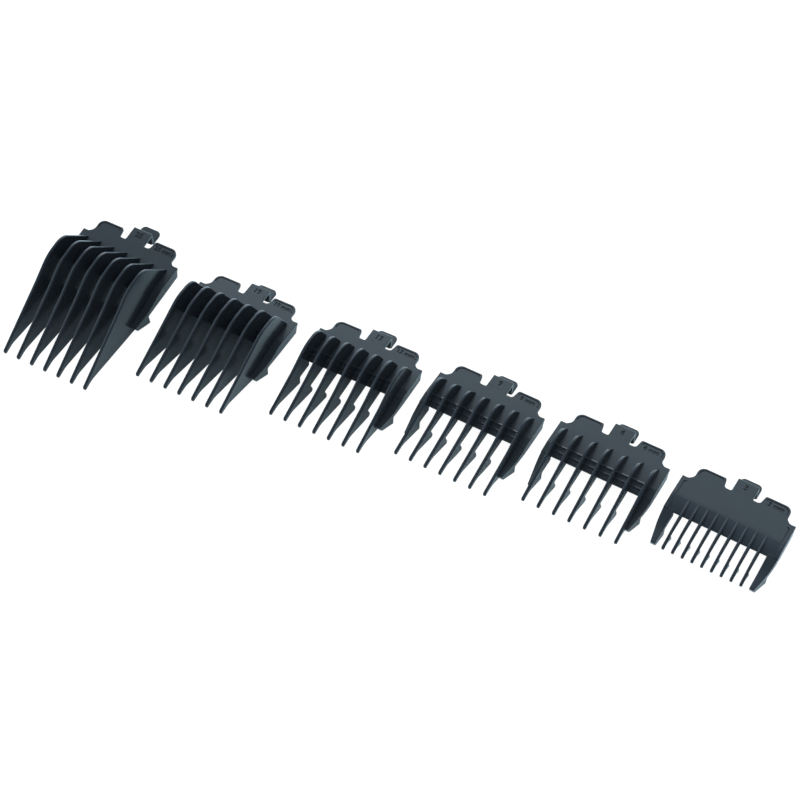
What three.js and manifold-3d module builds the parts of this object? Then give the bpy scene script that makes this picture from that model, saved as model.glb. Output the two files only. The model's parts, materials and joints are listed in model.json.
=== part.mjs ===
// A row of six clip-on guide combs for a hair clipper, laid on a table from the longest cut to the
// shortest. Each comb is one moulded body (plate, side skirts, feet and teeth) and one sprung latch.
// Millimetres, +Z up. Comb frame: +X across the comb, +Y towards its latch, plate top at z = 0 and
// the plate's rear corners on y = 0. The finished set stands on z = 0, centred on the origin.
import * as THREE from 'three';
import { mergeVertices } from 'three/addons/utils/BufferGeometryUtils.js';
import Module from 'manifold-3d';

const wasm = await Module();
wasm.setup();

// ---- Driving dimensions, shared by every comb ----
const HALF_WIDTH = 23.5;
const PLATE_THICKNESS = 1.6;
const PLATE_FRONT_Y = -17;
const PLATE_BEND_Y = -12.2;
const PLATE_FRONT_DROP = 0.9;
const FRONT_LIP = 1;
const SKIRT_THICKNESS = 1.2;
const SKIRT_DEPTH = 5;
const SKIRT_REAR_SLANT = 1.2;
const FIN_THICKNESS = 1.25;
const FIN_PITCH = 6.54;
const FIN_COUNT = 7;
const CURVE_STEPS = 3;
const MOST_ROUND = 0.49;
const CREST_ROUND = 4;

// Rear outline of the plate, right half: notch, tab, slot and tongue.
const NOTCH = { x: 20.3, y: 1, radius: 0.7 };
const TAB = { sideX: 19.25, radius: 3.2, innerX: 8.2, rearY: 7.6, innerRadius: 0.8 };
const SLOT = { outerX: 7.4, innerX: 4.4, bottomY: 3.1, radius: 1.1 };
const TONGUE = { rootY: 4.7, rearY: 10.3 };
const PART_GAP = 0.3;

// Underside of a tooth: seat for the blade, then the stop that its front edge meets.
const SEAT = { rearY: -12.5, frontY: -17, frontZ: -2.2 };
const STOP = { heelY: -25.2, heelZ: -6, toeY: -25.5 };
const NECK_LENGTH = 5.3;
const NECK_Z = -4.2;
const TIP_TOP_Z = -3.4;
const TIP_BOTTOM_Z = -5.3;
const TIP_RADIUS = 0.8;

// Foot: the deep front end of each side, beside the outermost tooth.
const FOOT = {
  startY: -16, startZ: -0.8, heelY: -23.3, heelZ: -5.2, browY: -24, browZ: -2.9,
  frontY: -32.4, frontBottomZ: -6.4, topZ: -3.5,
};

// Latch under the tongue.
const LATCH = {
  wallThickness: 1.2, tabTopZ: -5.5, tabBottomZ: -6.6, tabRearY: 15.8, tabHalfWidth: 4.5,
  tabCornerRadius: 1.4, barbReach: 1.1, barbTopZ: -3.7, barbBottomZ: -5.3,
};

// One entry per comb, by length of cut. The ridge is the top line of a tooth: where it leaves the
// plate, the start and end of its crest, and the middle of its slope. toeZ is the lowest place of a
// tooth and footZ that of a foot. footX is how far out the foot's outer face is at its heel and at
// its front end. seatEnd is the top of the stop. at and turn (degrees) place the comb on the table.
const COMBS = [
  {
    size: 25, at: [0, 0], turn: 0, tipY: -65.7, toeZ: -9, footZ: -9.8, footX: [23.4, 22.7],
    seatEnd: [-25.6, -4.2],
    ridge: [[-2.5, 0], [-16, 16.2], [-27, 15.9], [-38, 9.9]],
  },
  {
    size: 19, at: [56.8, 1.6], turn: 0.2, tipY: -53.6, toeZ: -8.4, footZ: -9, footX: [23.4, 22.5],
    seatEnd: [-25.6, -4.2],
    ridge: [[-2.4, 0], [-10.8, 12.9], [-22, 12.8], [-33, 7]],
  },
  {
    size: 13, at: [113.2, 4.2], turn: 0.5, tipY: -46.7, toeZ: -7.6, footZ: -9, footX: [23.3, 22],
    seatEnd: [-26.8, -3],
    ridge: [[-2.2, 0], [-8.6, 9.4], [-18.4, 9.3], [-29, 3.6]],
  },
  {
    size: 9, at: [166.9, 6.8], turn: -1.2, tipY: -42.8, toeZ: -7.4, footZ: -9, footX: [23.1, 21.6],
    seatEnd: [-26.8, -2.6],
    ridge: [[-2.1, 0], [-8.2, 7], [-14, 6.9], [-25, 1.8]],
  },
  {
    size: 6, at: [219.8, 8.1], turn: -1.1, tipY: -39.8, toeZ: -7.2, footZ: -9, footX: [22.8, 21.3],
    seatEnd: [-26.8, -2.6],
    ridge: [[-2.1, 0], [-8.4, 5.9], [-14.4, 5.8], [-24, 1.9]],
  },
  {
    size: 3, at: [272.1, 6.8], turn: -1.9, tipY: -32.9, toeZ: -6.6, footZ: -9, footX: [22.9, 21.2],
    seatEnd: [-26.8, -2.6],
    ridge: [[-8.4, -0.3], [-9.4, 0], [-17, 0], [-24, -1]],
  },
];
const FINE_SIZE = 3;
const FINE = { toothCount: 9, pitch: 3.98, thickness: 1.2, neckLength: 3, cheekX: 19.2, cheekTipX: 19.2 };

// ---- Helpers ----
const SIDEWAYS = new THREE.Matrix4().makeBasis(
  new THREE.Vector3(0, 1, 0), new THREE.Vector3(0, 0, 1), new THREE.Vector3(1, 0, 0));

/** Closed outline through the corners [u, v, reach]; an arc rounds a corner from that far on each side. */
function outline(corners) {
  const shape = new THREE.Shape();
  const points = corners.map(([u, v]) => new THREE.Vector2(u, v));
  corners.forEach(([, , wanted = 0], i) => {
    const here = points[i];
    const toBefore = points.at(i - 1).clone().sub(here);
    const toAfter = points[(i + 1) % points.length].clone().sub(here);
    const reach = Math.min(wanted, toBefore.length() * MOST_ROUND, toAfter.length() * MOST_ROUND);
    const turn = Math.PI - toBefore.angleTo(toAfter);
    const start = toBefore.setLength(reach).add(here);
    const end = toAfter.setLength(reach).add(here);
    if (i === 0) shape.moveTo(start.x, start.y);
    else shape.lineTo(start.x, start.y);
    if (reach === 0) return;
    const pull = (4 / 3) * Math.tan(turn / 4) / Math.tan(turn / 2);
    const leave = start.lerp(here, pull);
    const arrive = end.clone().lerp(here, pull);
    shape.bezierCurveTo(leave.x, leave.y, arrive.x, arrive.y, end.x, end.y);
  });
  shape.closePath();
  return shape;
}

/** A three.js geometry as a solid that can be joined and cut. */
function solid(geometry) {
  geometry.deleteAttribute('normal');
  geometry.deleteAttribute('uv');
  const merged = mergeVertices(geometry, 1e-4);
  return new wasm.Manifold(new wasm.Mesh({
    numProp: 3,
    vertProperties: new Float32Array(merged.attributes.position.array),
    triVerts: new Uint32Array(merged.index.array),
  }));
}

/** A side view (corners [y, z, reach]) carried across the comb from x = from to x = to. */
function across(corners, from, to) {
  const settings = { depth: to - from, bevelEnabled: false, curveSegments: CURVE_STEPS };
  const geometry = new THREE.ExtrudeGeometry(outline(corners), settings);
  return solid(geometry.applyMatrix4(SIDEWAYS).translate(from, 0, 0));
}

/** A plan view (corners [x, y, reach]) carried up from z = from to z = to. */
function upright(corners, from, to) {
  const settings = { depth: to - from, bevelEnabled: false, curveSegments: CURVE_STEPS };
  return solid(new THREE.ExtrudeGeometry(outline(corners), settings).translate(0, 0, from));
}

/** The same corners on the comb's left side, in the order that keeps the outline turning one way. */
const mirrored = (corners) => corners.map(([x, y, reach]) => [-x, y, reach]).reverse();

/** A solid back as a three.js geometry. */
function geometryOf(body) {
  const { vertProperties, triVerts } = body.getMesh();
  const geometry = new THREE.BufferGeometry();
  geometry.setAttribute('position', new THREE.BufferAttribute(new Float32Array(vertProperties), 3));
  geometry.setIndex(new THREE.BufferAttribute(new Uint32Array(triVerts), 1));
  geometry.computeVertexNormals();
  return geometry;
}

// ---- Pieces of one comb ----
/** Flat plate with two rear tabs; its front strip bends down behind the teeth. */
function plate() {
  const rearRight = [
    [HALF_WIDTH, PLATE_FRONT_Y], [HALF_WIDTH, 0], [NOTCH.x + NOTCH.radius, 0.1, 0.5],
    [TAB.sideX, NOTCH.y + NOTCH.radius, 1.2], [TAB.sideX, TAB.rearY, TAB.radius],
    [TAB.innerX, TAB.rearY, TAB.innerRadius], [SLOT.outerX, SLOT.bottomY, SLOT.radius],
    [SLOT.innerX, SLOT.bottomY, SLOT.radius], [SLOT.innerX, TONGUE.rootY - PART_GAP],
  ];
  const side = [
    [PLATE_FRONT_Y, -PLATE_FRONT_DROP - FRONT_LIP], [PLATE_BEND_Y, -PLATE_THICKNESS],
    [TONGUE.rearY, -PLATE_THICKNESS], [TONGUE.rearY, 0], [PLATE_BEND_Y, 0], [PLATE_FRONT_Y, -PLATE_FRONT_DROP],
  ];
  return across(side, -HALF_WIDTH, HALF_WIDTH)
    .intersect(upright([...rearRight, ...mirrored(rearRight)], -SKIRT_DEPTH, SKIRT_DEPTH));
}

/** Skirt wall and foot on one side, side = 1 for right and -1 for left. */
function sideWall({ footZ, footX, size, tipY }, side) {
  const skirt = [
    [-SKIRT_REAR_SLANT, -SKIRT_DEPTH], [0, 0], [PLATE_BEND_Y, 0], [FOOT.startY - 1, -PLATE_FRONT_DROP],
    [FOOT.startY - 1, -SKIRT_DEPTH],
  ];
  const fine = size === FINE_SIZE;
  const frontY = fine ? tipY : FOOT.frontY;
  const foot = [
    [FOOT.startY, FOOT.startZ], [FOOT.startY, -SKIRT_DEPTH], [FOOT.heelY, FOOT.heelZ],
    [FOOT.heelY, footZ, 0.4], [frontY + 1.4, FOOT.frontBottomZ, 0.6], [frontY, FOOT.topZ, 0.5],
    [FOOT.browY, FOOT.browZ, 4],
  ];
  const innerX = fine ? FINE.cheekX : ((FIN_COUNT - 1) / 2) * FIN_PITCH;
  const plan = [
    [innerX, FOOT.startY + 1], [innerX, frontY - 1], [footX[1], frontY, 0.5], [footX[0], FOOT.heelY, 2],
    [HALF_WIDTH, FOOT.startY, 0.9], [HALF_WIDTH, FOOT.startY + 1],
  ];
  const planHere = side > 0 ? plan : mirrored(plan);
  const [inner, outer] = [HALF_WIDTH - SKIRT_THICKNESS, HALF_WIDTH];
  const wall = side > 0 ? across(skirt, inner, outer) : across(skirt, -outer, -inner);
  const footSolid = across(foot, -HALF_WIDTH, HALF_WIDTH).intersect(upright(planHere, -20, 20));
  return wall.add(footSolid);
}

/** Side view of one tooth, from its ridge to the blade seat, the stop and the slim tip. */
function toothOutline({ ridge, tipY, toeZ, seatEnd, size }) {
  const neck = size === FINE_SIZE ? FINE.neckLength : NECK_LENGTH;
  const [root, crestStart, crestEnd, slope] = ridge;
  return [
    root, [root[0], -PLATE_THICKNESS], [SEAT.rearY, -PLATE_THICKNESS],
    [SEAT.frontY, SEAT.frontZ], seatEnd, [STOP.heelY, STOP.heelZ, 0.3],
    [STOP.toeY, toeZ, 0.6], [tipY + neck, NECK_Z, 1],
    [tipY, TIP_BOTTOM_Z, TIP_RADIUS], [tipY, TIP_TOP_Z, TIP_RADIUS], [...slope, 2],
    [...crestEnd, CREST_ROUND], [...crestStart, CREST_ROUND],
  ];
}

/** All the teeth of a comb, evenly spaced about its middle. */
function teeth(comb) {
  const fine = comb.size === FINE_SIZE;
  const [count, pitch, thickness] = fine
    ? [FINE.toothCount, FINE.pitch, FINE.thickness]
    : [FIN_COUNT, FIN_PITCH, FIN_THICKNESS];
  const side = toothOutline(comb).reverse();
  return Array.from({ length: count }, (_, i) => {
    const x = (i - (count - 1) / 2) * pitch;
    return across(side, x - thickness / 2, x + thickness / 2);
  });
}

/** The moulded body of one comb. */
function combBody(comb) {
  return [sideWall(comb, 1), sideWall(comb, -1), ...teeth(comb)]
    .reduce((whole, piece) => whole.add(piece), plate());
}

/** Sprung tongue with its wall, forward barb and rounded finger tab. */
function latch() {
  const wallFrontY = TONGUE.rearY - LATCH.wallThickness;
  const side = [
    [TONGUE.rootY, 0], [TONGUE.rootY, -PLATE_THICKNESS], [wallFrontY, -PLATE_THICKNESS],
    [wallFrontY, LATCH.barbTopZ], [wallFrontY - LATCH.barbReach, LATCH.barbBottomZ],
    [wallFrontY, LATCH.barbBottomZ], [wallFrontY, LATCH.tabBottomZ, 0.6], [LATCH.tabRearY, LATCH.tabBottomZ],
    [LATCH.tabRearY, LATCH.tabTopZ], [TONGUE.rearY, LATCH.tabTopZ], [TONGUE.rearY, 0, 0.4],
  ];
  const plan = [
    [-SLOT.innerX, TONGUE.rootY], [SLOT.innerX, TONGUE.rootY], [SLOT.innerX, TONGUE.rearY],
    [LATCH.tabHalfWidth, LATCH.tabRearY, LATCH.tabCornerRadius],
    [-LATCH.tabHalfWidth, LATCH.tabRearY, LATCH.tabCornerRadius], [-SLOT.innerX, TONGUE.rearY],
  ];
  return across(side, -HALF_WIDTH, HALF_WIDTH).intersect(upright(plan, -20, 20));
}

// ---- Assembly ----
const plastic = { color: 0x2b3136, roughness: 0.38, metalness: 0 };

function mesh(name, body) {
  const piece = new THREE.Mesh(geometryOf(body), new THREE.MeshStandardMaterial(plastic));
  piece.name = name;
  return piece;
}

/** Tilt about X of a comb that rests on its feet and on its tips (longest comb) or its latch. */
function restTilt({ footZ, tipY, size }) {
  const [otherY, otherZ] = size === COMBS[0].size
    ? [tipY + TIP_RADIUS, TIP_BOTTOM_Z]
    : [LATCH.tabRearY, LATCH.tabBottomZ];
  return Math.atan((footZ - otherZ) / (otherY - FOOT.heelY));
}

const set = new THREE.Group();
for (const comb of COMBS) {
  const place = new THREE.Group();
  place.rotation.set(restTilt(comb), 0, THREE.MathUtils.degToRad(comb.turn), 'ZXY');
  place.add(mesh(`comb_${comb.size}mm_body`, combBody(comb)));
  place.add(mesh(`comb_${comb.size}mm_latch`, latch()));
  const lowest = new THREE.Box3().setFromObject(place, true).min.z;
  place.position.set(comb.at[0], comb.at[1], -lowest);
  set.add(place);
}

const centre = new THREE.Box3().setFromObject(set, true).getCenter(new THREE.Vector3());
set.children.forEach((place) => place.position.sub(new THREE.Vector3(centre.x, centre.y, 0)));

export default set;
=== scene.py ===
"""Six clip-on guide combs for a hair clipper, laid in a row on a pale table.

Each comb's frame is in millimetres: +X across the comb, +Y towards its latch, plate top at z = 0.
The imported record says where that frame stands.
"""
import json
import math
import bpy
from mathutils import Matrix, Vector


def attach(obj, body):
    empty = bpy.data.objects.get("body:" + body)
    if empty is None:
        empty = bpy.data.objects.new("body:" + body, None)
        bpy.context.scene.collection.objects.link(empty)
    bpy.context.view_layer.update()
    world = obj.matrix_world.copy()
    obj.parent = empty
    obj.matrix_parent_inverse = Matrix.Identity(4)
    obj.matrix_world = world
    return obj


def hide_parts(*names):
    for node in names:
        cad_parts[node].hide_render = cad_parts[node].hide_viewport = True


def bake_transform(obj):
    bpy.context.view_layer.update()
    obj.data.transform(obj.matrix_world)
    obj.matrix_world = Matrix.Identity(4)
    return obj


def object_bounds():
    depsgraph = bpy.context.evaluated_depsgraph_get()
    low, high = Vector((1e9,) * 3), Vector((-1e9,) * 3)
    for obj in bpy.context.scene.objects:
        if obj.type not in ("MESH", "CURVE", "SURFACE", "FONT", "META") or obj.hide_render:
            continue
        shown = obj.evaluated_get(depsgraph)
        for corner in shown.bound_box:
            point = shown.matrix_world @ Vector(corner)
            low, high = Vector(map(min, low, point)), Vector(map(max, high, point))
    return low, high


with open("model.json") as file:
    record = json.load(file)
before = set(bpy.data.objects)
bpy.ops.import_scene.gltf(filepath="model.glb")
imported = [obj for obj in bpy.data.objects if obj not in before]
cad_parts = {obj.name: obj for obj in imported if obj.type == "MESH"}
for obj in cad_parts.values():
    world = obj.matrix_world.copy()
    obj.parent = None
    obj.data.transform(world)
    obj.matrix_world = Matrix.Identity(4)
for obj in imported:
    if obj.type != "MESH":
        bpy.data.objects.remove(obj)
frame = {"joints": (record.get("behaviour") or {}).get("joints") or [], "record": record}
cad_box = [list(corner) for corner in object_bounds()]

import bmesh
import bpy
from mathutils import Matrix, Vector

MM = 0.001
CURVE_STEPS = 8  # pieces in a rounded corner
EDGE_STEPS = 3  # pieces in a rounded rim
MOST_ROUND = 0.49  # the most of a side that one rounded corner may take
NO_DEPTH = 1e-9
ON_PLANE = 1e-5
WELD = 1e-4
SHARP_ANGLE = 38  # degrees; a sharper edge keeps its crease
SINK = 0.05  # how far a piece reaches into the plate that it is joined to
CUTTER_TOP = 1.0  # how far a groove's cutter stands above the plate
CUTTER_EDGE = 0.001

# ---- Sizes shared by every comb, in mm ----
HALF_WIDTH = 23.5
PLATE = {
    "thickness": 1.6, "front": -17.0, "bend": -12.2, "bend_reach": 0.15, "drop": 0.9, "lip": 1.0,
    "edge": 0.22,
}
SKIRT = {"thickness": 1.2, "depth": 5.0, "rear_slant": 1.2, "top": -0.01, "edge": 0.2}
FIN = {"thickness": 1.25, "pitch": 6.54, "count": 7, "edge": 0.36}
FINE = {
    "thickness": 1.2, "pitch": 3.98, "count": 9, "edge": 0.4, "neck": 3.0, "cheek": 19.2,
    "polished_from": -9.8,
}
NOTCH = {"x": 20.3, "y": 1.0, "radius": 0.7}
TAB = {"side": 19.25, "radius": 3.2, "inner": 8.2, "rear": 7.6, "inner_radius": 0.8}
SLOT = {"outer": 7.4, "inner": 4.4, "bottom": 3.1, "radius": 1.1}
TONGUE = {"root": 4.7, "rear": 10.3, "gap": 0.3}
SEAT = {"rear": -12.5, "front": -17.0, "front_z": -2.2, "root_sink": 0.2}
STOP = {"heel": -25.2, "heel_z": -6.0, "toe": -25.5}
SEAT_END = {25: (-25.6, -4.2), 19: (-25.6, -4.6), 13: (-26.8, -3.0)}
USUAL_SEAT_END = (-26.8, -2.6)
TIP = {"neck": 5.3, "neck_z": -4.2, "top_z": -3.4, "bottom_z": -5.3, "radius": 0.8}
FOOT = {
    "start": -16.0, "start_z": -0.85, "heel": -23.3, "heel_z": -5.2, "brow": -24.0, "brow_z": -2.9,
    "front": -32.4, "bottom_z": -6.4, "top_z": -3.5, "toe": 1.4, "overlap": 1.0, "flare": 1.5,
    "tooth_overlap": 0.2, "edge": 0.3, "bend_step": 1.0, "bends": 16,
}
LATCH = {
    "wall": 1.2, "tab_top": -5.5, "tab_bottom": -6.6, "tab_rear": 15.8, "tab_half": 4.5,
    "corner": 1.96, "barb": 1.1, "barb_top": -3.7, "barb_bottom": -5.3, "edge": 0.2, "finger_edge": 0.3,
    "top": -0.004, "overlap": 0.35, "sink": 0.1, "finger_overlap": 0.3, "bend_step": 0.25, "bends": 11,
}
RAIL = {
    "inner": 21.7, "rear": -2.0, "curve_start": -8.3, "curve_power": 1.8, "bend_step": 0.4,
    "bends": 22, "drop": 1.15, "rail_drop": 0.8, "step": 0.1, "hook": 1.0, "bevel": (0.1, 0.15),
    "reach": 1.0,
}
BEAD = {
    "at": (-12.0, -14.7), "width": 0.7, "height": 0.3, "round": 0.1, "rear_rise": 0.02,
    "front_drop": 0.12, "root": 0.3, "edge": 0.02,
}
RIM = {"inset": 1.0, "width": 0.5, "depth": 0.4, "inner_end": 5.7, "outer_end": 3.4, "bevel": 0.25}
MARK = {"depth": 0.35, "weight": 0.12, "tab": ((13.5, 4.6), 2.9), "tongue": ((0, 7.0), 3.5)}
CREST_ROUND = 4.0
ROOT_Z = -0.8

# Per comb: length of cut, tip, lowest place of tooth and foot, foot width at heel and front, and
# the ridge line: root, crest start, crest end, middle of the slope.
COMBS = [
    (25, -65.7, -9.0, -9.8, (23.4, 22.7), ((-2.5, 0), (-16, 16.2), (-27, 15.9), (-38, 9.9))),
    (19, -53.6, -8.4, -9.0, (23.4, 22.5), ((-2.4, 0), (-10.8, 12.9), (-22, 12.8), (-33, 7))),
    (13, -46.7, -7.6, -9.0, (23.3, 22.0), ((-2.2, 0), (-8.6, 9.4), (-18.4, 9.3), (-29, 3.6))),
    (9, -42.8, -7.4, -9.0, (23.1, 21.6), ((-2.1, 0), (-8.2, 7), (-14, 6.9), (-25, 1.8))),
    (6, -39.8, -7.2, -9.0, (22.8, 21.3), ((-2.1, 0), (-8.4, 5.9), (-14.4, 5.8), (-24, 1.9))),
    (3, -32.9, -6.6, -9.0, (22.9, 21.2), ((-8.4, -0.3), (-9.4, 0), (-17, 0), (-24, -1))),
]
FINE_SIZE = 3

# ---- Looks ----
SATIN = {
    "colour": (0.011, 0.0155, 0.0195), "roughness": 0.34, "shine": 0.3, "grain": 0.35, "grain_size": 0.25,
}
# The polished plastic's colour is the satin's dark blue-grey lifted a little: painted light that makes up
# for the shade between the teeth.
GLOSS = {
    "colour": (0.0125, 0.017, 0.0225), "roughness": 0.2, "shine": 0.2, "grain": 0.08, "grain_size": 0.4,
}
PLASTIC = {
    "ior": 1.5, "shine_tint": (0.78, 0.92, 1, 1), "mottle_scale": 60, "mottle_ends": (0.3, 0.7),
    "mottle_tones": (0.9, 1.1), "smear_scale": 140, "smear_range": (0.92, 1.1), "grain_depth": 0.02,
}

# ---- Stage, in metres and degrees ----
CAMERA = {
    "azimuth": 28.8, "elevation": 52.43, "distance": 0.7475, "aim": (-0.00277, 0.01276),
    "lens": 83.94, "sensor": 36, "clip_start": 0.01,
}
FLOOR = {"reach": 60.0, "roughness": 0.9, "shine": 0.1}
FLOOR_SEEN = {"depth": 0.0002, "colour": (0.15, 0.15, 0.15), "glow": 0.93}
# Seen only in the plastic's gloss: a bluish table without glow, a painted reflection of a darker, shaded
# table.
FLOOR_IN_GLOSS = {"depth": 0.0001, "colour": (0.72, 0.92, 1.0), "glow": 0.0}
OVERHEAD = {"size": 3.4, "watts": 50, "at": (0, -0.2, 1.1)}
# What the plastic mirrors: the way to each bright thing, and its colour by how near that way is.
WALL = (
    (-0.42, 0.88, 0.20),
    ((0.48, (0.1, 0.12, 0.14)), (0.73, (1.04, 1.12, 1.21)), (0.95, (3.1, 3.35, 3.6))),
)
LAMP = (
    (-0.93, -0.12, 0.30),
    ((0.89, (0, 0, 0)), (0.965, (5.5, 6.0, 6.3))),
)


# ---- Camera ----
def add_camera():
    """A view from the front right, high, close enough for some perspective."""
    azimuth, elevation = math.radians(CAMERA["azimuth"]), math.radians(CAMERA["elevation"])
    aim = Vector((*CAMERA["aim"], cad_box[0][2]))
    data = bpy.data.cameras.new("camera")
    data.lens = CAMERA["lens"]
    data.sensor_width = CAMERA["sensor"]
    data.clip_start = CAMERA["clip_start"]
    away = Vector((
        math.sin(azimuth) * math.cos(elevation),
        -math.cos(azimuth) * math.cos(elevation),
        math.sin(elevation),
    ))
    camera = bpy.data.objects.new("camera", data)
    bpy.context.scene.collection.objects.link(camera)
    camera.location = aim + away * CAMERA["distance"]
    camera.rotation_euler = (-away).to_track_quat("-Z", "Y").to_euler()
    bpy.context.scene.camera = camera


# ---- Outlines ----
def outline(corners):
    """Points of a closed outline; an arc rounds a corner (u, v, reach) from that far on each side."""
    points = []
    count = len(corners)
    for i, corner in enumerate(corners):
        here = Vector(corner[:2])
        wanted = corner[2] if len(corner) > 2 else 0
        before = Vector(corners[i - 1][:2]) - here
        after = Vector(corners[(i + 1) % count][:2]) - here
        reach = min(wanted, before.length * MOST_ROUND, after.length * MOST_ROUND)
        if reach <= 0:
            points.append(here)
            continue
        start = here + before.normalized() * reach
        end = here + after.normalized() * reach
        turn = math.pi - before.angle(after)
        pull = 4 / 3 * math.tan(turn / 4) / math.tan(turn / 2)
        leave, arrive = start.lerp(here, pull), end.lerp(here, pull)
        for k in range(CURVE_STEPS + 1):
            t = k / CURVE_STEPS
            first_half = start * (1 - t) ** 3 + leave * 3 * t * (1 - t) ** 2
            points.append(first_half + arrive * 3 * t ** 2 * (1 - t) + end * t ** 3)
    return points if signed_area(points) > 0 else points[::-1]


def inset(points, distance):
    """The outline moved inwards by a distance, corner by corner."""
    moved = []
    count = len(points)
    for i, here in enumerate(points):
        a = (here - points[i - 1]).normalized()
        b = (points[(i + 1) % count] - here).normalized()
        normal_a, normal_b = Vector((-a.y, a.x)), Vector((-b.y, b.x))
        middle = normal_a + normal_b
        scale = 2 / max(middle.length_squared, 1.0)
        moved.append(here + middle * scale * distance)
    return moved


def mirrored(corners):
    """The same corners on the comb's left side, in the order that keeps the outline going round."""
    return [(-c[0], *c[1:]) for c in reversed(corners)]


def signed_area(points):
    """Twice the outline's area, positive when it runs anticlockwise."""
    return sum(a.x * b.y - b.x * a.y for a, b in zip(points, points[1:] + points[:1]))


# ---- Solids ----
def rounded_prism(points, low, high, edge, place):
    """A closed prism whose two rims are rounded; place(u, v, w) gives each point's (x, y, z)."""
    bm = bmesh.new()
    rings = []
    steps = [(k / EDGE_STEPS) * math.pi / 2 for k in range(EDGE_STEPS + 1)]
    levels = [(edge * (1 - math.sin(a)), low + edge * (1 - math.cos(a))) for a in steps]
    levels += [(edge * (1 - math.cos(a)), high - edge * (1 - math.sin(a))) for a in steps]
    for depth, w in levels:
        ring = inset(points, depth) if depth > NO_DEPTH else points
        rings.append([bm.verts.new(place(p.x, p.y, w)) for p in ring])
    count = len(points)
    for lower, upper in zip(rings, rings[1:]):
        for i in range(count):
            j = (i + 1) % count
            bm.faces.new((lower[i], lower[j], upper[j], upper[i]))
    bm.faces.new(rings[0][::-1])
    bm.faces.new(rings[-1])
    return facing_out(bm)


def facing_out(bm):
    """Turns the faces of a closed solid outwards."""
    if bm.calc_volume(signed=True) < 0:
        bmesh.ops.reverse_faces(bm, faces=bm.faces)
    return bm


def across(corners, low, high, edge):
    """A side view (y, z) carried across the comb from x = low to x = high."""
    return rounded_prism(outline(corners), low, high, edge, lambda u, v, w: (w, u, v))


def upright(corners, low, high, edge):
    """A plan view (x, y) carried up from z = low to z = high."""
    return rounded_prism(outline(corners), low, high, edge, lambda u, v, w: (u, v, w))


def cut_across(bm, axis, places):
    """Adds a line of edges where each plane crosses the solid, so that it can bend there."""
    for place in places:
        point, normal = Vector(), Vector()
        point[axis] = place
        normal[axis] = 1
        geometry = bm.verts[:] + bm.edges[:] + bm.faces[:]
        bmesh.ops.bisect_plane(bm, geom=geometry, plane_co=point, plane_no=normal, dist=ON_PLANE)


def as_object(name, bm, material):
    """A bmesh in millimetres as an object with one material."""
    mesh = bpy.data.meshes.new(name)
    bm.to_mesh(mesh)
    bm.free()
    mesh.materials.append(material)
    obj = bpy.data.objects.new(name, mesh)
    bpy.context.scene.collection.objects.link(obj)
    return obj


def combine(target, others, operation):
    """Joins other solids to the target, or cuts them out of it, and removes them."""
    slots = [m.name for m in target.data.materials]
    for other in others:
        for material in other.data.materials:
            if material.name not in slots:
                target.data.materials.append(material)
                slots.append(material.name)
        modifier = target.modifiers.new("join", "BOOLEAN")
        modifier.operation = operation
        modifier.solver = "MANIFOLD"
        modifier.material_mode = "TRANSFER"
        modifier.object = other
    bpy.context.view_layer.update()
    graph = bpy.context.evaluated_depsgraph_get()
    mesh = bpy.data.meshes.new_from_object(target.evaluated_get(graph), depsgraph=graph)
    target.modifiers.clear()
    target.data = mesh
    for other in others:
        bpy.data.objects.remove(other)
    return target


def finish_piece(obj, matrix):
    """Puts a piece in its place in the row, in metres, and gives it smooth shading with crisp flats."""
    obj.data.transform(matrix @ Matrix.Scale(MM, 4))
    obj.data.shade_smooth()
    obj.data.set_sharp_from_angle(angle=math.radians(SHARP_ANGLE))
    weighted = obj.modifiers.new("crisp_flats", "WEIGHTED_NORMAL")
    weighted.keep_sharp = True
    weighted.weight = 100


# ---- Pieces of one comb ----
def plate_drop(size, x, y):
    """How far the plate's front strip lies below its flat top; the finest comb's rails drop less."""
    if size != FINE_SIZE:
        share = (PLATE["bend"] - y) / (PLATE["bend"] - PLATE["front"])
        return PLATE["drop"] * min(max(share, 0), 1)
    drop = RAIL["rail_drop"] if abs(x) > RAIL["inner"] + RAIL["step"] / 2 else RAIL["drop"]
    share = (RAIL["curve_start"] - y) / (RAIL["curve_start"] - PLATE["front"])
    return drop * min(max(share, 0), 1) ** RAIL["curve_power"]


def plate_outline():
    right = [
        (HALF_WIDTH, PLATE["front"]), (HALF_WIDTH, 0), (NOTCH["x"] + NOTCH["radius"], 0.1, 0.5),
        (TAB["side"], NOTCH["y"] + NOTCH["radius"], 1.2), (TAB["side"], TAB["rear"], TAB["radius"]),
        (TAB["inner"], TAB["rear"], TAB["inner_radius"]), (SLOT["outer"], SLOT["bottom"], SLOT["radius"]),
        (SLOT["inner"], SLOT["bottom"], SLOT["radius"]), (SLOT["inner"], TONGUE["root"] - TONGUE["gap"]),
    ]
    return right + mirrored(right)


def plate(size, material, front_material):
    """The plate, flat on top but for its front strip, which the finest comb has polished."""
    bm = upright(plate_outline(), -PLATE["thickness"], 0, PLATE["edge"])
    if size == FINE_SIZE:
        cut_across(bm, 1, [RAIL["curve_start"] - RAIL["bend_step"] * k for k in range(RAIL["bends"])])
        cut_across(bm, 0, [side * (RAIL["inner"] + gap) for side in (-1, 1) for gap in (0, RAIL["step"])])
    else:
        cut_across(bm, 1, [PLATE["bend"] + side * PLATE["bend_reach"] for side in (1, 0, -1)])
    thinner = (PLATE["thickness"] - PLATE["lip"]) / (PLATE["bend"] - PLATE["front"])
    for vert in bm.verts:
        y = vert.co.y
        share = -vert.co.z / PLATE["thickness"]
        loss = max(PLATE["bend"] - y, 0) * thinner
        vert.co.z += -plate_drop(size, vert.co.x, y) + share * loss
    obj = as_object("plate", bm, material)
    if size == FINE_SIZE:
        obj.data.materials.append(front_material)
        for face in obj.data.polygons:
            face.material_index = int(face.center.y < FINE["polished_from"])
    return obj


def tooth_places(kind):
    """The x of each tooth, from left to right."""
    return [(i - (kind["count"] - 1) / 2) * kind["pitch"] for i in range(kind["count"])]


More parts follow.
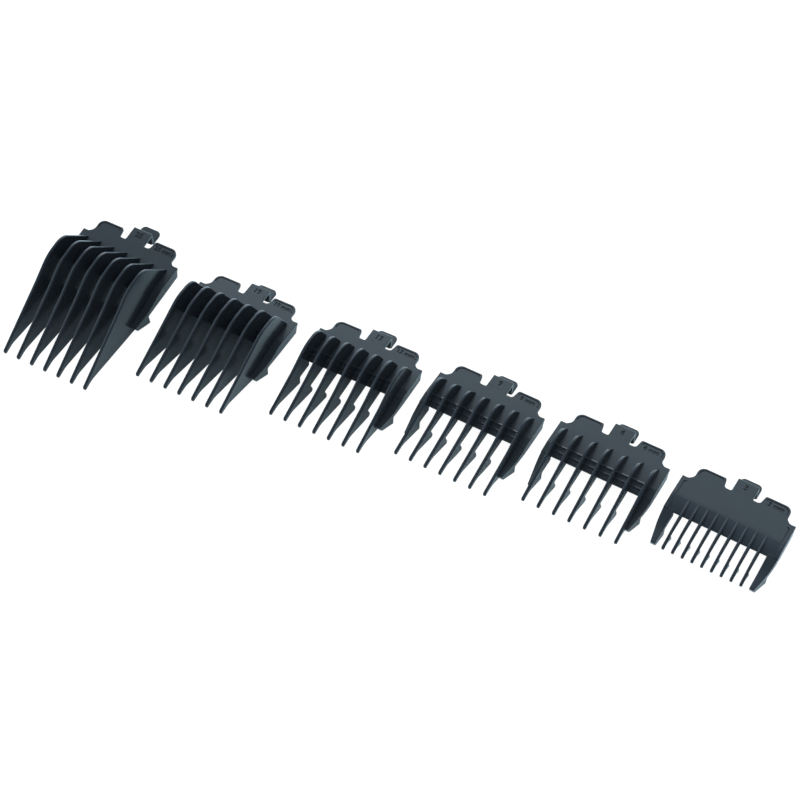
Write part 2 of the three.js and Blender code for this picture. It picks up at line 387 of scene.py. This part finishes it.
def beads(material):
    """Two low ribs across the plate's front strip, at its bend and halfway down."""
    half = tooth_places(FIN)[-1]
    pieces = []
    for y in BEAD["at"]:
        z = -plate_drop(0, 0, y)
        rear, front = y + BEAD["width"], y - BEAD["width"]
        profile = [
            (rear, z - BEAD["root"]), (rear, z + BEAD["rear_rise"]), (y, z + BEAD["height"], BEAD["round"]),
            (front, z - BEAD["front_drop"]), (front, z - BEAD["root"]),
        ]
        pieces.append(as_object("bead", across(profile, -half, half, BEAD["edge"]), material))
    return pieces


def groove(path, width, depth, material):
    """A cutter for a narrow groove in the plate's top along an open path of (x, y)."""
    points = [Vector(p) for p in path]
    normals = []
    for i, here in enumerate(points):
        along = points[min(i + 1, len(points) - 1)] - points[max(i - 1, 0)]
        normals.append(Vector((-along.y, along.x)).normalized() * width / 2)
    loop = [p + n for p, n in zip(points, normals)] + [p - n for p, n in zip(points, normals)][::-1]
    if signed_area(loop) < 0:
        loop.reverse()
    bm = rounded_prism(loop, -depth, CUTTER_TOP, CUTTER_EDGE, lambda u, v, w: (u, v, w))
    return as_object("groove", bm, material)


def tab_grooves(material):
    """The line moulded just inside each rear tab's edge."""
    near, far = TAB["inner"] + RIM["inset"], TAB["side"] - RIM["inset"]
    rear = TAB["rear"] - RIM["inset"]
    corner = TAB["radius"] - RIM["inset"]
    path = [(near, RIM["inner_end"]), (near, rear - RIM["bevel"]), (near + RIM["bevel"], rear)]
    for k in range(CURVE_STEPS + 1):
        angle = math.pi / 2 * (1 - k / CURVE_STEPS)
        path.append((far - corner + corner * math.cos(angle), rear - corner + corner * math.sin(angle)))
    path.append((far, RIM["outer_end"]))
    left = [(-x, y) for x, y in path]
    return [groove(line, RIM["width"], RIM["depth"], material) for line in (path, left)]


def rail_grooves(material):
    """The finest comb's line between plate and rail, with a short hook at its rear."""
    cutters = []
    bevel_x, bevel_y = RAIL["bevel"]
    for side in (1, -1):
        path = [
            (side * (RAIL["inner"] - RAIL["hook"]), RAIL["rear"]),
            (side * (RAIL["inner"] - bevel_x), RAIL["rear"]),
            (side * RAIL["inner"], RAIL["rear"] - bevel_y),
            (side * RAIL["inner"], RAIL["curve_start"] - RAIL["reach"]),
        ]
        cutters.append(groove(path, RIM["width"], RIM["depth"], material))
    return cutters


def size_mark(text, place, height, material):
    """A cutter that engraves a size number in a comb's top."""
    curve = bpy.data.curves.new("size_mark", "FONT")
    curve.body = text
    curve.size = height
    curve.align_x = "CENTER"
    curve.align_y = "CENTER"
    curve.extrude = MARK["depth"]
    curve.offset = MARK["weight"]
    curve.resolution_u = 2
    letters = bpy.data.objects.new("size_mark", curve)
    bpy.context.scene.collection.objects.link(letters)
    bpy.context.view_layer.update()
    mesh = bpy.data.meshes.new_from_object(letters)
    bpy.data.objects.remove(letters)
    bm = bmesh.new()
    bm.from_mesh(mesh)
    bmesh.ops.remove_doubles(bm, verts=bm.verts, dist=WELD)
    bmesh.ops.translate(bm, verts=bm.verts, vec=(place[0], place[1], 0))
    return as_object("size_mark", facing_out(bm), material)


def foot_width(foot_x, y):
    """How far out a foot's outer face is at this y."""
    front = FOOT["front"]
    if y >= FOOT["start"]:
        return HALF_WIDTH
    if y >= FOOT["heel"]:
        share = (FOOT["start"] - y) / (FOOT["start"] - FOOT["heel"])
        return HALF_WIDTH + (foot_x[0] - HALF_WIDTH) * share ** FOOT["flare"]
    share = (FOOT["heel"] - y) / (FOOT["heel"] - front)
    return foot_x[0] + (foot_x[1] - foot_x[0]) * share


def side_walls(comb, material):
    """Skirt and foot on both sides."""
    size, tip_y, _, foot_z, foot_x, _ = comb
    fine = size == FINE_SIZE
    front = tip_y if fine else FOOT["front"]
    inner = FINE["cheek"] if fine else tooth_places(FIN)[-1] - FOOT["tooth_overlap"]
    skirt_front = FOOT["start"] - FOOT["overlap"]
    skirt = [
        (-SKIRT["rear_slant"], -SKIRT["depth"]), (0, SKIRT["top"]), (PLATE["bend"], SKIRT["top"]),
        (skirt_front, -PLATE["drop"] - SINK), (skirt_front, -SKIRT["depth"]),
    ]
    foot = [
        (FOOT["start"], FOOT["start_z"], 0.4), (FOOT["start"], -SKIRT["depth"]),
        (FOOT["heel"], FOOT["heel_z"], 0.5), (FOOT["heel"], foot_z, 0.4),
        (front + FOOT["toe"], FOOT["bottom_z"], 0.6), (front, FOOT["top_z"], 0.5),
        (FOOT["brow"], FOOT["brow_z"], 4),
    ]
    pieces = []
    for side in (1, -1):
        bm = across(skirt, HALF_WIDTH - SKIRT["thickness"], HALF_WIDTH, SKIRT["edge"])
        for vert in bm.verts:
            vert.co.x *= side
        pieces.append(as_object("skirt", facing_out(bm), material))
        bm = across(foot, inner, HALF_WIDTH, FOOT["edge"])
        cut_across(bm, 1, [FOOT["start"] - FOOT["bend_step"] * (k + 1) for k in range(FOOT["bends"])])
        for vert in bm.verts:
            share = (vert.co.x - inner) / (HALF_WIDTH - inner)
            vert.co.x = side * (inner + share * (foot_width(foot_x, vert.co.y) - inner))
        pieces.append(as_object("foot", facing_out(bm), material))
    return pieces


def tooth_outline(comb):
    """Side view of a tooth: ridge, blade seat, stop and slim tip."""
    size, tip_y, toe_z, _, _, ridge = comb
    root, crest_start, crest_end, slope = ridge
    neck = FINE["neck"] if size == FINE_SIZE else TIP["neck"]
    return [
        (*root, 1.0), (root[0], -PLATE["thickness"] + SEAT["root_sink"]),
        (SEAT["rear"], -PLATE["thickness"] + SINK),
        (SEAT["front"], SEAT["front_z"], 1.0), (*SEAT_END.get(size, USUAL_SEAT_END), 0.3),
        (STOP["heel"], STOP["heel_z"], 0.3), (STOP["toe"], toe_z, 0.7), (tip_y + neck, TIP["neck_z"], 1.6),
        (tip_y, TIP["bottom_z"], TIP["radius"]), (tip_y, TIP["top_z"], TIP["radius"]), (*slope, 2),
        (*crest_end, CREST_ROUND), (*crest_start, CREST_ROUND),
    ]


def teeth(comb, material):
    """The comb's row of teeth."""
    kind = FINE if comb[0] == FINE_SIZE else FIN
    half = kind["thickness"] / 2
    pieces = []
    for x in tooth_places(kind):
        bm = across(tooth_outline(comb), x - half, x + half, kind["edge"])
        pieces.append(as_object("tooth", bm, material))
    return pieces


def latch(material):
    """Sprung tongue with its wall, barb and rounded finger tab, joined to the plate's slot."""
    wall_front = TONGUE["rear"] - LATCH["wall"]
    root = TONGUE["root"] - LATCH["overlap"]
    underside = -PLATE["thickness"] + LATCH["sink"]
    wall_bottom = LATCH["tab_bottom"] + LATCH["sink"]
    side = [
        (root, LATCH["top"]), (root, underside), (wall_front, underside, 0.3),
        (wall_front, LATCH["barb_top"]), (wall_front - LATCH["barb"], LATCH["barb_bottom"], 0.2),
        (wall_front, LATCH["barb_bottom"]), (wall_front, wall_bottom, 0.4),
        (TONGUE["rear"], wall_bottom), (TONGUE["rear"], LATCH["top"], 0.6),
    ]
    bm = across(side, -SLOT["inner"], SLOT["inner"], LATCH["edge"])
    cut_across(bm, 1, [root + LATCH["bend_step"] * (k + 1) for k in range(LATCH["bends"])])
    tongue = as_object("tongue", bm, material)
    tab_front = wall_front + LATCH["finger_overlap"]
    tab = [
        (-LATCH["tab_half"], tab_front), (LATCH["tab_half"], tab_front),
        (LATCH["tab_half"], LATCH["tab_rear"], LATCH["corner"]),
        (-LATCH["tab_half"], LATCH["tab_rear"], LATCH["corner"]),
    ]
    bm = upright(tab, LATCH["tab_bottom"], LATCH["tab_top"], LATCH["finger_edge"])
    finger = as_object("finger", bm, material)
    return combine(tongue, [finger], "UNION")


# ---- Where a comb stands ----
def comb_matrix(size):
    """The comb's frame in the row: its hinge gives a point and the X axis, its seat the Z axis."""
    record = frame["record"]
    hinge = next(j for j in frame["joints"] if j["name"] == f"latch_{size}mm_flex")
    seat = next(m for m in record["mounts"] if m["name"] == f"blade_seat_{size}mm")
    x_axis = Vector(hinge["axis"]).normalized()
    z_axis = -Vector(seat["axis"]).normalized()
    y_axis = z_axis.cross(x_axis)
    turn = Matrix((x_axis, y_axis, z_axis)).transposed()
    origin = Vector(hinge["pos_m"]) - turn @ (Vector((0, TONGUE["root"], ROOT_Z)) * MM)
    return Matrix.Translation(origin) @ turn.to_4x4()


# ---- Materials ----
def plastic(name, look):
    """Moulded plastic with faint mottling, uneven gloss and a fine moulded grain."""
    material = bpy.data.materials.new(name)
    material.use_nodes = True
    nodes, links = material.node_tree.nodes, material.node_tree.links
    shader = nodes["Principled BSDF"]
    shader.inputs["IOR"].default_value = PLASTIC["ior"]
    shader.inputs["Specular IOR Level"].default_value = look["shine"]
    shader.inputs["Specular Tint"].default_value = PLASTIC["shine_tint"]
    where = nodes.new("ShaderNodeTexCoord")
    mottle = nodes.new("ShaderNodeTexNoise")
    mottle.inputs["Scale"].default_value = PLASTIC["mottle_scale"]
    mottle.inputs["Detail"].default_value = 3
    links.new(where.outputs["Object"], mottle.inputs["Vector"])
    tint = nodes.new("ShaderNodeValToRGB")
    ends = zip(tint.color_ramp.elements, PLASTIC["mottle_ends"], PLASTIC["mottle_tones"])
    for stop, position, tone in ends:
        stop.position = position
        stop.color = (*[c * tone for c in look["colour"]], 1)
    links.new(mottle.outputs["Fac"], tint.inputs["Fac"])
    links.new(tint.outputs["Color"], shader.inputs["Base Color"])
    smear = nodes.new("ShaderNodeTexNoise")
    smear.inputs["Scale"].default_value = PLASTIC["smear_scale"]
    smear.inputs["Detail"].default_value = 4
    links.new(where.outputs["Object"], smear.inputs["Vector"])
    gloss = nodes.new("ShaderNodeMapRange")
    least, most = PLASTIC["smear_range"]
    gloss.inputs["To Min"].default_value = look["roughness"] * least
    gloss.inputs["To Max"].default_value = look["roughness"] * most
    links.new(smear.outputs["Fac"], gloss.inputs["Value"])
    links.new(gloss.outputs["Result"], shader.inputs["Roughness"])
    pits = nodes.new("ShaderNodeTexNoise")
    pits.inputs["Scale"].default_value = 1 / (look["grain_size"] * MM)
    pits.inputs["Detail"].default_value = 2
    links.new(where.outputs["Object"], pits.inputs["Vector"])
    bump = nodes.new("ShaderNodeBump")
    bump.inputs["Strength"].default_value = look["grain"]
    bump.inputs["Distance"].default_value = PLASTIC["grain_depth"] * MM
    links.new(pits.outputs["Fac"], bump.inputs["Height"])
    links.new(bump.outputs["Normal"], shader.inputs["Normal"])
    return material


def add_floor(name, look, in_gloss):
    """One of the two faces of the table: one is seen directly, the other only in the plastic's gloss. The
    one in the gloss has no glow and a blue tint, a painted reflection of a darker, shaded table, though the
    shadows on it are cast for real.
    """
    bm = bmesh.new()
    bmesh.ops.create_grid(bm, x_segments=1, y_segments=1, size=FLOOR["reach"])
    mesh = bpy.data.meshes.new(name)
    bm.to_mesh(mesh)
    bm.free()
    floor = bpy.data.objects.new(name, mesh)
    bpy.context.scene.collection.objects.link(floor)
    floor.location.z = cad_box[0][2] - look["depth"]
    material = bpy.data.materials.new(name)
    material.use_nodes = True
    shader = material.node_tree.nodes["Principled BSDF"]
    shader.inputs["Base Color"].default_value = (*look["colour"], 1)
    shader.inputs["Roughness"].default_value = FLOOR["roughness"]
    shader.inputs["Specular IOR Level"].default_value = FLOOR["shine"]
    shader.inputs["Emission Color"].default_value = (1, 1, 1, 1)
    shader.inputs["Emission Strength"].default_value = look["glow"]
    mesh.materials.append(material)
    floor.visible_shadow = False
    floor.visible_glossy = in_gloss
    floor.visible_camera = not in_gloss
    floor.visible_diffuse = not in_gloss


def add_overhead_light():
    """A large soft light that shades the table without showing in the plastic's gloss."""
    data = bpy.data.lights.new("overhead", "AREA")
    data.shape = "DISK"
    data.size = OVERHEAD["size"]
    data.energy = OVERHEAD["watts"]
    light = bpy.data.objects.new("overhead", data)
    bpy.context.scene.collection.objects.link(light)
    light.location = OVERHEAD["at"]
    light.rotation_euler = light.location.to_track_quat("Z", "Y").to_euler()
    light.visible_glossy = False


def add_surroundings():
    """A studio with a bright wall low behind the combs and a lamp at their left, dark in front."""
    world = bpy.data.worlds.new("studio")
    bpy.context.scene.world = world
    world.use_nodes = True
    nodes, links = world.node_tree.nodes, world.node_tree.links
    background = nodes["Background"]
    where = nodes.new("ShaderNodeTexCoord")
    layers = []
    for direction, stops in (WALL, LAMP):
        towards = nodes.new("ShaderNodeVectorMath")
        towards.operation = "DOT_PRODUCT"
        towards.inputs[1].default_value = Vector(direction).normalized()
        links.new(where.outputs["Generated"], towards.inputs[0])
        ramp = nodes.new("ShaderNodeValToRGB")
        ramp.color_ramp.interpolation = "EASE"
        while len(ramp.color_ramp.elements) < len(stops):
            ramp.color_ramp.elements.new(0.5)
        for stop, (position, colour) in zip(ramp.color_ramp.elements, stops):
            stop.position = position
            stop.color = (*colour, 1)
        links.new(towards.outputs["Value"], ramp.inputs["Fac"])
        layers.append(ramp)
    together = nodes.new("ShaderNodeVectorMath")
    together.operation = "ADD"
    for i, layer in enumerate(layers):
        links.new(layer.outputs["Color"], together.inputs[i])
    links.new(together.outputs["Vector"], background.inputs["Color"])
    background.inputs["Strength"].default_value = 1.0


def set_tones():
    """Plain tones, so that the pale table comes out near white."""
    view = bpy.context.scene.view_settings
    view.view_transform = "Standard"
    view.look = "None"


# ---- Making ----
add_camera()
satin = plastic("satin_plastic", SATIN)
# Polished plastic, its colour lifted a little as painted light against the shade between the teeth.
gloss = plastic("polished_plastic", GLOSS)
for comb in COMBS:
    size = comb[0]
    fine = size == FINE_SIZE
    matrix = comb_matrix(size)
    parts = side_walls(comb, gloss if fine else satin) + teeth(comb, gloss)
    if not fine:
        parts += beads(gloss)
    body = combine(plate(size, satin, gloss), parts, "UNION")
    cutters = tab_grooves(satin) + [size_mark(f"{size} mm", *MARK["tab"], satin)]
    if fine:
        cutters += rail_grooves(satin)
    body = combine(body, cutters, "DIFFERENCE")
    body.name = f"comb_{size}mm_moulding"
    finish_piece(body, matrix)
    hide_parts(f"comb_{size}mm_body")
    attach(body, f"comb_{size}mm")
    tongue = combine(latch(satin), [size_mark(str(size), *MARK["tongue"], satin)], "DIFFERENCE")
    tongue.name = f"comb_{size}mm_tongue"
    finish_piece(tongue, matrix)
    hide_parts(f"comb_{size}mm_latch")
    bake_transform(tongue)
add_floor("floor", FLOOR_SEEN, False)
add_floor("floor_in_gloss", FLOOR_IN_GLOSS, True)
add_surroundings()
add_overhead_light()
set_tones()
